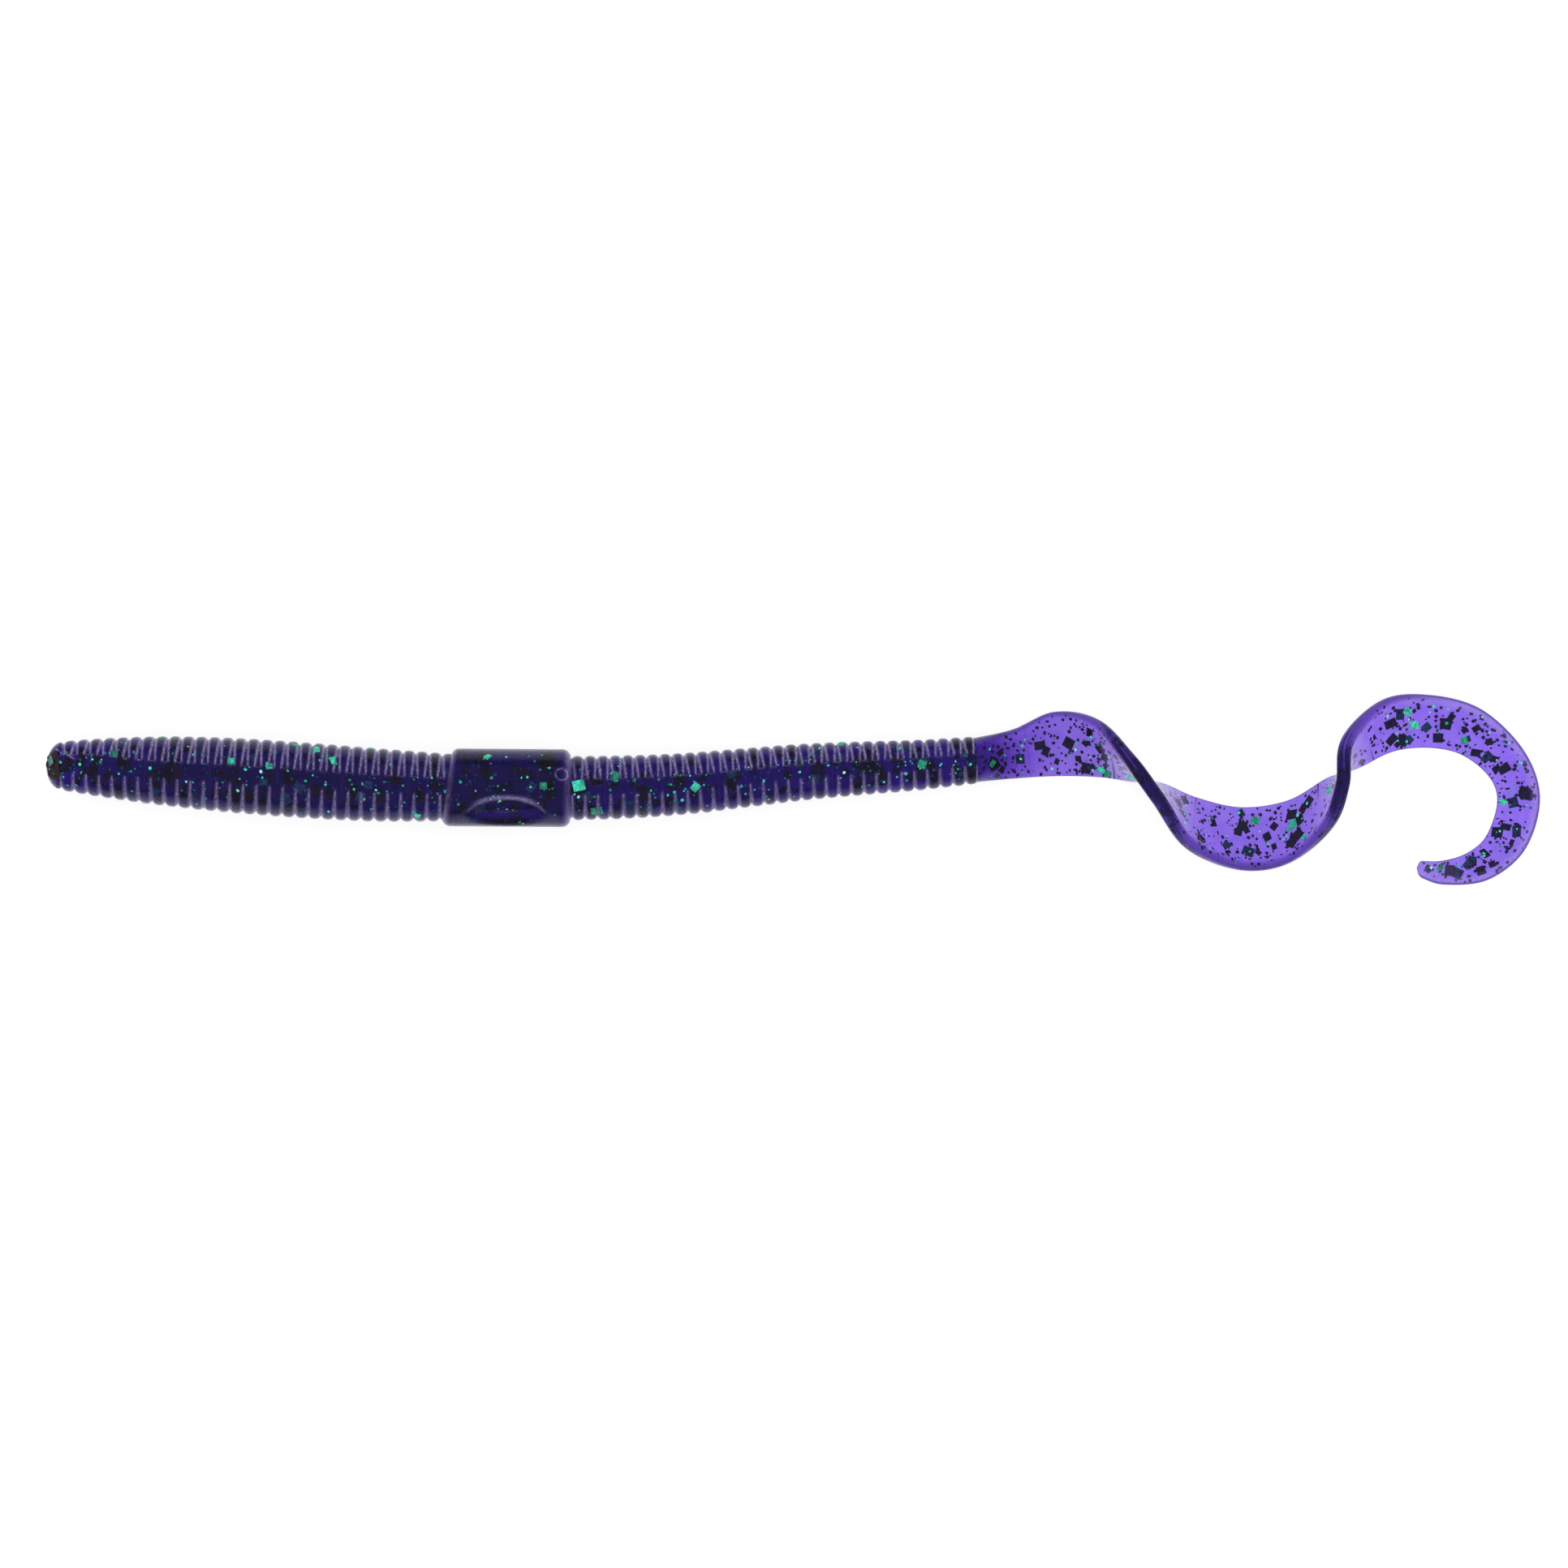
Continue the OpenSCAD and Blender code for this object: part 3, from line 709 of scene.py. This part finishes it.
# the next two colours are painted glints: flakes coloured as if catching the light, whichever way they face
PAINTED_GLINT = (0.05, 0.85, 0.56)
PAINTED_PALE_GLINT = (0.3, 0.95, 0.8)
ON_SKIN = -0.008  # the depth of flakes that lie at the very surface
UNDER_SKIN = 0.03  # the least depth of a tilted flake, and the least distance from the ribbon's other face
CLEAR_OF_FLOOR = 0.02
FLAKE_REACH = 0.6  # how far from a piece's ends the flakes of the body lie
SPECK_REACH = 0.25
LARGE_PER_MM = 1.5  # flakes for each mm of the body
DEEP_PER_MM = 4.5
SPECKS_PER_MM = 20
BRIGHT_LARGE = 0.35  # the share that lie at the surface, teal or with a painted glint colour
BRIGHT_SPECKS = 0.4
BAND_SPECKS = 0.55  # the share that crowd along the smooth band
BAND_SPREAD = 22  # how far they spread from its middle, in degrees
SPECK = 0.4  # the size up to which a fleck in the ribbon counts as small
SPECK_SHARE = 0.96  # the share of the ribbon's width that small ones lie in, from the thin edge
LARGE_SHARE = 0.84


class Glitter:
    """Collects flakes: small patches at a depth under a surface that place(along, around, depth) gives."""

    def __init__(self, seed):
        self.rng = np.random.default_rng(seed)
        self.verts, self.faces, self.tints = [], [], []

    def pick(self, tints, shares):
        return tints[self.rng.choice(len(tints), p=shares)]

    def add(self, place, along, around, size, depth, tint, tilt=0.0, cells=2):
        turn = self.rng.uniform(0, np.pi / 2)
        aspect = self.rng.uniform(0.65, 1)
        slope = self.rng.uniform(-tilt, tilt, 2)
        edge = np.linspace(-0.5, 0.5, cells + 1)
        x, y = (g.ravel() for g in np.meshgrid(edge * size, edge * size * aspect))
        x, y = x * np.cos(turn) - y * np.sin(turn), x * np.sin(turn) + y * np.cos(turn)
        below = depth if depth < 0 else np.maximum(depth + x * slope[0] + y * slope[1], UNDER_SKIN)
        points = place(along + x, around + y, below + 0 * x)
        if points[:, 2].min() < CLEAR_OF_FLOOR:
            return
        base = len(self.verts)
        self.verts += list(points)
        row = cells + 1
        for i in range(cells):
            for j in range(cells):
                a = base + i * row + j
                self.faces.append([a, a + 1, a + row + 1, a + row])
        crinkled = self.rng.uniform(0.8, 1.15) * self.rng.uniform(0.5 if cells > 1 else 1, 1.3, row**2)
        self.tints += [(*(min(c * shade, 1) for c in tint), 1.0) for shade in crinkled]

    def finish(self, name):
        obj = new_object(name, self.verts, self.faces, GLITTER, smooth=False)
        colours = obj.data.color_attributes.new("tint", "FLOAT_COLOR", "POINT")
        colours.data.foreach_set("color", np.array(self.tints, np.float32).ravel())
        return obj


def fill_body(glitter, place, lo, hi, radius, clear=None):
    """Glitter for a round stretch: large flakes near and under the skin, and specks that crowd along the
    smooth band; those at the surface are teal or have a painted glint colour. No deep flakes lie where
    clear(along, around) is true."""
    length = hi - lo
    rng = glitter.rng
    for _ in range(round(LARGE_PER_MM * length)):
        size = rng.uniform(0.75, 1.25)
        bright = rng.random() < BRIGHT_LARGE
        tint = glitter.pick((TEAL, PAINTED_GLINT), (0.5, 0.5)) if bright else EMERALD
        depth = ON_SKIN if bright else rng.uniform(0.04, 0.12)
        along, around = rng.uniform(lo + FLAKE_REACH, hi - FLAKE_REACH), rng.uniform(-180, 180)
        glitter.add(place, along, around, size, depth, tint, cells=6)
    for _ in range(round(DEEP_PER_MM * length)):
        size = rng.uniform(0.8, 1.4)
        depth = rng.uniform(0.35, 0.6 * radius)
        along, around = rng.uniform(lo + FLAKE_REACH, hi - FLAKE_REACH), rng.uniform(-180, 180)
        if clear is None or not clear(along, around):
            glitter.add(place, along, around, size, depth, BLACK_GREEN, tilt=0.3)
    for _ in range(round(SPECKS_PER_MM * length)):
        band = rng.normal(0, BAND_SPREAD) + rng.choice([0, 180])
        around = band if rng.random() < BAND_SPECKS else rng.uniform(-180, 180)
        bright = rng.random() < BRIGHT_SPECKS
        tint = glitter.pick((TEAL, PAINTED_GLINT, PAINTED_PALE_GLINT), (0.5, 0.35, 0.15)) if bright else EMERALD
        depth = ON_SKIN if bright else rng.uniform(0.03, 0.09)
        size = rng.choice([rng.uniform(0.1, 0.2), rng.uniform(0.18, 0.32)], p=[0.7, 0.3])
        along = rng.uniform(lo + SPECK_REACH, hi - SPECK_REACH)
        glitter.add(place, along, around, size, depth, tint, cells=1)


def fill_ribbon(glitter, lo, hi):
    """Glitter for a stretch of the ribbon: large flakes and many small flecks inside the web, and a few
    at its upper face, teal or with a painted glint colour."""
    rng = glitter.rng
    length = ribbon_step((lo + hi) / 2) * (hi - lo)
    widest = ribbon_axes(np.linspace(lo, hi, 9))[3].max()

    def scatter(density, sizes, depths, tints, shares, cells):
        for _ in range(round(density * length * widest)):
            size = rng.uniform(*sizes)
            edge = 0.6 * size + 0.05
            margin = edge / ribbon_step((lo + hi) / 2)
            t = rng.uniform(lo + margin, min(hi, TIP_FROM) - margin)
            here = ribbon_axes(t)[3]
            if rng.random() > here / widest:
                continue
            limit = (here - edge) * (LARGE_SHARE if size > SPECK else SPECK_SHARE)
            if limit < 1.6 * edge:
                continue
            tint = glitter.pick(tints, shares)
            around, depth = rng.uniform(edge, limit), rng.uniform(*depths)
            glitter.add(ribbon_place, t, around, size, depth, tint, cells=cells)

    surface = (ON_SKIN, ON_SKIN)
    scatter(0.2, (0.6, 1.3), (0.1, 0.4), (BLACK_GREEN, EMERALD), (0.75, 0.25), cells=3)
    scatter(0.03, (0.7, 1.1), surface, (TEAL, PAINTED_GLINT), (0.5, 0.5), cells=3)
    scatter(2.3, (0.14, 0.38), (0.05, 0.4), (DARK_VIOLET, BLACK_GREEN), (0.7, 0.3), cells=1)
    scatter(0.25, (0.12, 0.3), surface, (TEAL, PAINTED_GLINT, PAINTED_PALE_GLINT), (0.4, 0.4, 0.2), cells=1)


def ribbon_place(along, around, depth):
    """Takes steps along the ribbon for a flake's middle plus mm along it, and mm from the thin edge."""
    middle = along.mean()
    t = middle + (along - middle) / ribbon_step(middle)
    _, across, face, width = ribbon_axes(t)
    v = around / width
    half = ribbon_half(t, v, width)
    up = np.where(face[:, 2] > 0, 1, -1)
    off = np.maximum(half - depth, UNDER_SKIN - half) * up
    return spline(THIN_EDGE, t) + across * around[:, None] + face * off[:, None]


def branch_place(branch):
    """Takes mm along the body, and round it degrees for a flake's middle plus mm across the flake."""
    def place(along, around, depth):
        middle = around.mean()
        phi = middle + np.degrees((around - middle) / branch.crest(along))
        return branch.point(along, phi, depth)
    return place


# ---------------------------------------------------------------- the pieces


def dress(obj, a, b, first, last, slot, *nodes):
    """Bakes obj's placement into its mesh, and hides the CAD parts that it stands in for."""
    bend(obj)
    if nodes:
        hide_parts(*nodes)


def ring_at(branch, s):
    phi = np.arange(0, 360, 6.0)
    return branch.point(np.full(len(phi), s), phi)


def branch_piece(branch, a, b, lo, hi, first, last, seed, nodes=True):
    s = ring_places(branch, lo, hi)
    piece = skin(f"skin_{a}_to_{b}", body_rings(branch, s), BODY_PLASTIC)
    mark(piece, "haze_and_highlight", body_haze_and_highlight(branch, s))
    dress(piece, a, b, first, last, "body_plastic", *([b] if nodes else []))
    glitter = Glitter(seed)
    fill_body(glitter, branch_place(branch), lo, min(hi, branch.ringed + 0.4), branch.crest((lo + hi) / 2))
    flakes = glitter.finish(f"glitter_{a}_to_{b}")
    dress(flakes, a, b, first, last, "glitter", *([b + "_glitter"] if nodes else []))


def make_front():
    mids = front.middles()
    bodies = ["egg_sack", *FRONT]
    lo = -SACK_OVERLAP[front.forward]
    for i, name in enumerate(FRONT):
        tip = i == len(FRONT) - 1
        hi = front.ringed + DOME_FROM + NOSE_DOME - 0.01 if tip else mids[i] - SEAM_GAP / 2
        branch_piece(front, bodies[i], name, lo, hi, ring_at(front, lo), ring_at(front, mids[i]), i)
        lo = mids[i] + SEAM_GAP / 2


def make_rear():
    mids = rear.middles()
    bodies = ["egg_sack", *REAR]
    lo = -SACK_OVERLAP[rear.forward]
    for i, name in enumerate(REAR):
        hi = mids[i] - SEAM_GAP / 2
        branch_piece(rear, bodies[i], name, lo, hi, ring_at(rear, lo), ring_at(rear, mids[i]), 10 + i)
        lo = mids[i] + SEAM_GAP / 2
    first, last = ring_at(rear, lo), ribbon_ring(tail_mid(0))
    branch_piece(rear, "rear_7", "tail_root", lo, rear.places[-1], first, last, 20, nodes=False)


def tail_mid(i):
    return (TAIL_CUTS[i] + TAIL_CUTS[i + 1]) / 2


def ribbon_shares():
    """Shares of the ribbon's width for the points of its upper face, closer together at its two edges."""
    return (1 - np.cos(np.linspace(0, np.pi, ACROSS))) / 2


def ribbon_ring(t):
    """Points right round the ribbon's section at t."""
    v = ribbon_shares()
    t = np.full(len(v), t)
    return np.vstack([ribbon_point(t, v, 1), ribbon_point(t[1:-1], v[::-1][1:-1], -1)])


def ribbon_rings(lo, hi):
    length = np.linalg.norm(np.diff(ribbon_mid(np.linspace(lo, hi, 20)), axis=0), axis=1).sum()
    return np.array([ribbon_ring(t) for t in np.linspace(lo, hi, round(length / RIBBON_STEP) + 1)])


def mark_rim(piece, lo, hi, count):
    """Stores where a ribbon piece is darkened by painted shade, at its rim, edges and root, and where a pale
    haze
    lies on it: where it twists (haze and painted sheen), round the curl and at the tip."""
    v = ribbon_shares()
    v = np.concatenate([v, v[::-1][1:-1]])
    t = np.linspace(lo, hi, count)[:, None]
    _, _, face, width = ribbon_axes(t[:, 0])
    from_rim = (1 - v) * width[:, None]
    half = rim_half(t)
    # painted shade: darker along the thick rim, a dark line along both edges, and darker near the root
    thick = ease((half - RIM_NO_SHADE) / (RIM_FULL_SHADE - RIM_NO_SHADE))
    rim = ease(1 - from_rim / (2.5 * RIM_WIDTH * half)) ** 0.45 * thick
    rim = np.maximum(rim, ease(1.4 - from_rim / mix(*RIM_LINES, ease((t - 10) / 2))))
    outline = EDGE_SHADE * ease(1 - v * width[:, None] / EDGE_LINE)
    core = 0.66 * ease(1 - t / 1.3) * (4 * v * (1 - v))
    core = core + 0.14 * ease(1 - (t - 3) / 2) + 0.1 * ease(1 - (t - 9) / 2)
    painted_shade = np.maximum(np.maximum(rim, outline), core)
    mark(piece, "painted_shade", painted_shade)
    curl = CURL_HAZE * ease((t - CURL_FROM) / 1.5) * ease(1.4 - from_rim / 0.9)
    # haze and painted sheen where the ribbon's faces stand steep
    on_edge = ease((0.85 - np.abs(face[:, 2:])) / 0.5)
    twist = TWIST_HAZE_AND_SHEEN * on_edge * ease(t - TWIST_FROM) * ease(TWIST_TO - t)
    haze_and_highlight = np.maximum(np.maximum(curl, twist), TIP_HAZE * ease((t - TIP_HAZE_FROM) / 1.5))
    mark(piece, "haze_and_highlight", haze_and_highlight * np.clip(1 - painted_shade, 0, 1))


def make_tail():
    bodies = ["rear_7", *TAIL]
    lo = TAIL_FROM
    first = ring_at(rear, rear.middles()[-1])
    for i, name in enumerate(TAIL):
        last = i == len(TAIL) - 1
        gap = SEAM_GAP / 2 / ribbon_step(tail_mid(i))
        hi = TAIL_CUTS[-1] if last else tail_mid(i) - gap
        end = ribbon_ring(tail_mid(i))
        rings = ribbon_rings(lo, hi)
        piece = skin(f"ribbon_{bodies[i]}_to_{name}", rings, TAIL_PLASTIC, flat=True)
        mark_rim(piece, lo, hi, len(rings))
        dress(piece, bodies[i], name, first, end, "tail_plastic", name)
        glitter = Glitter(30 + i)
        fill_ribbon(glitter, lo, hi)
        flakes = glitter.finish(f"glitter_{bodies[i]}_to_{name}_ribbon")
        dress(flakes, bodies[i], name, first, end, "glitter", name + "_glitter")
        lo = tail_mid(i) + gap
        first = end


def make_sack():
    half = SACK_LEN / 2
    corner = (half - SACK_ROUND) + SACK_ROUND * np.sin(np.linspace(0, np.pi / 2, SACK_CORNER))
    flat = np.linspace(-half + SACK_ROUND, half - SACK_ROUND, SACK_ALONG)
    x = np.concatenate([-corner[::-1], flat[1:-1], corner])
    phi = np.arange(SACK_AROUND) * 360 / SACK_AROUND
    grid_x, grid_phi = np.meshgrid(x, phi, indexing="ij")
    piece = skin("skin_egg_sack", sack_point(grid_x, grid_phi), BODY_PLASTIC)
    mark(piece, "haze_and_highlight", sack_haze_and_highlight(grid_x, grid_phi))
    glitter = Glitter(50)

    def place(along, around, depth):
        middle = around.mean()
        return sack_point(along, middle + np.degrees((around - middle) / SACK_R), depth)

    def in_scoop(along, around):
        return scoop_place(along, around)[0] < 1

    fill_body(glitter, place, -half + SACK_ROUND, half - SACK_ROUND, SACK_R, in_scoop)
    flakes = glitter.finish("glitter_egg_sack")
    for obj, slot, node in ((piece, "body_plastic", "egg_sack"), (flakes, "glitter", "egg_sack_glitter")):
        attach(obj, "egg_sack")
        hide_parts(node)


def make_scar():
    """The rough skin of the cut end, lumpy and uneven in outline, with a few flakes in it."""
    middle, wide, high, normal, reach, share_at_edge = front.cut()
    rng = np.random.default_rng(60)
    turn = np.arange(SCAR_AROUND) * 2 * np.pi / SCAR_AROUND
    outline = SCAR_SIZE + 0.12 * np.sin(2 * turn + 0.7) + 0.07 * np.sin(5 * turn)

    def ring(share, lift):
        out = share * outline
        drop = reach * (np.sqrt(1 - (out * share_at_edge) ** 2) - np.sqrt(1 - share_at_edge**2))
        lift = lift + np.minimum(drop, 0)
        round_about = wide * np.cos(turn)[:, None] + high * np.sin(turn)[:, None]
        return middle + round_about * out[:, None] + normal * lift[:, None]

    rings = [ring(0.5, np.full(SCAR_AROUND, -0.14)), ring(0.97, np.full(SCAR_AROUND, -0.12))]
    for share in np.linspace(1, 0.07, 13):
        lumps = rng.uniform(0, SCAR_LUMPS, SCAR_AROUND)
        rings.append(ring(share, 0.03 + (lumps + np.roll(lumps, 1)) / 2 * ease((1 - share) * 4)))
    scar = skin("nose_scar", np.array(rings), TORN)
    flakes = Glitter(61)

    def place(along, around, depth):
        x, y = along / np.linalg.norm(wide), around / np.linalg.norm(high)
        return middle + wide * x[:, None] + high * y[:, None] - normal * depth[:, None]

    flakes.add(place, 0.45, 0.12, 0.95, -0.22, DULL_TEAL, cells=3)
    for _ in range(3):
        along, around, size = rng.uniform(-0.9, 0.9), rng.uniform(-0.6, 0.5), rng.uniform(0.12, 0.25)
        flakes.add(place, along, around, size, -0.2, TEAL, cells=1)
    for obj, slot in ((scar, "body_plastic"), (flakes.finish("glitter_nose_scar"), "glitter")):
        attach(obj, "nose")


make_front()
make_scar()
make_rear()
make_tail()
make_sack()

# ---------------------------------------------------------------- floor, light, camera

FLOOR_HALF = 1500.0  # half its side
FLOOR_Z = -0.01  # just under the worm
FLOOR_GLOW = 0.76  # lifts the paper to white without more light on the worm
SKY_LOW = (0.1, 0.2)  # up to this height the tent has this strength
SKY_HIGH = (0.5, 1.0)  # from this height on it has this one
CAMERA_X = -0.917
CAMERA_Y = 0.583
CAMERA_HEIGHT = 2100.0  # so far away that the view hardly narrows with height
SHOWN = 161.0  # how wide a stretch of floor the camera sees
SENSOR = 36.0


def make_floor():
    mat, tree, shader = material("floor_paper")
    fibre = noise(tree, 300)
    colour = ramp(tree, fibre.outputs["Fac"], [(0.3, (0.38, 0.38, 0.38)), (0.7, (0.4, 0.4, 0.4))])
    tree.links.new(colour, shader.inputs["Base Color"])
    shader.inputs["Roughness"].default_value = 0.9
    shader.inputs["Specular IOR Level"].default_value = 0.1
    shader.inputs["Emission Color"].default_value = (1, 1, 1, 1)
    shader.inputs["Emission Strength"].default_value = FLOOR_GLOW
    corners = [(x * FLOOR_HALF, y * FLOOR_HALF, FLOOR_Z) for x, y in ((-1, -1), (1, -1), (1, 1), (-1, 1))]
    new_object("floor", corners, [(0, 1, 2, 3)], mat, smooth=False)


def make_light():
    """A white tent, dimmer towards the floor."""
    world = bpy.data.worlds.new("soft_tent")
    bpy.context.scene.world = world
    world.use_nodes = True
    tree = world.node_tree
    sky = tree.nodes["Background"]
    sky.inputs["Color"].default_value = (1, 1, 1, 1)
    coords = tree.nodes.new("ShaderNodeTexCoord")
    split = tree.nodes.new("ShaderNodeSeparateXYZ")
    tree.links.new(coords.outputs["Generated"], split.inputs["Vector"])
    (low, dim), (high, full) = SKY_LOW, SKY_HIGH
    tree.links.new(map_range(tree, split.outputs["Z"], low, high, dim, full), sky.inputs["Strength"])


def make_camera():
    data = bpy.data.cameras.new("camera")
    camera = bpy.data.objects.new("camera", data)
    bpy.context.scene.collection.objects.link(camera)
    data.sensor_width = SENSOR
    data.lens = SENSOR * CAMERA_HEIGHT / SHOWN
    data.clip_start = 0.01
    camera.location = (CAMERA_X * MM, CAMERA_Y * MM, CAMERA_HEIGHT * MM)
    bpy.context.scene.camera = camera


make_floor()
make_light()
make_camera()
bpy.context.scene.view_settings.view_transform = "Standard"
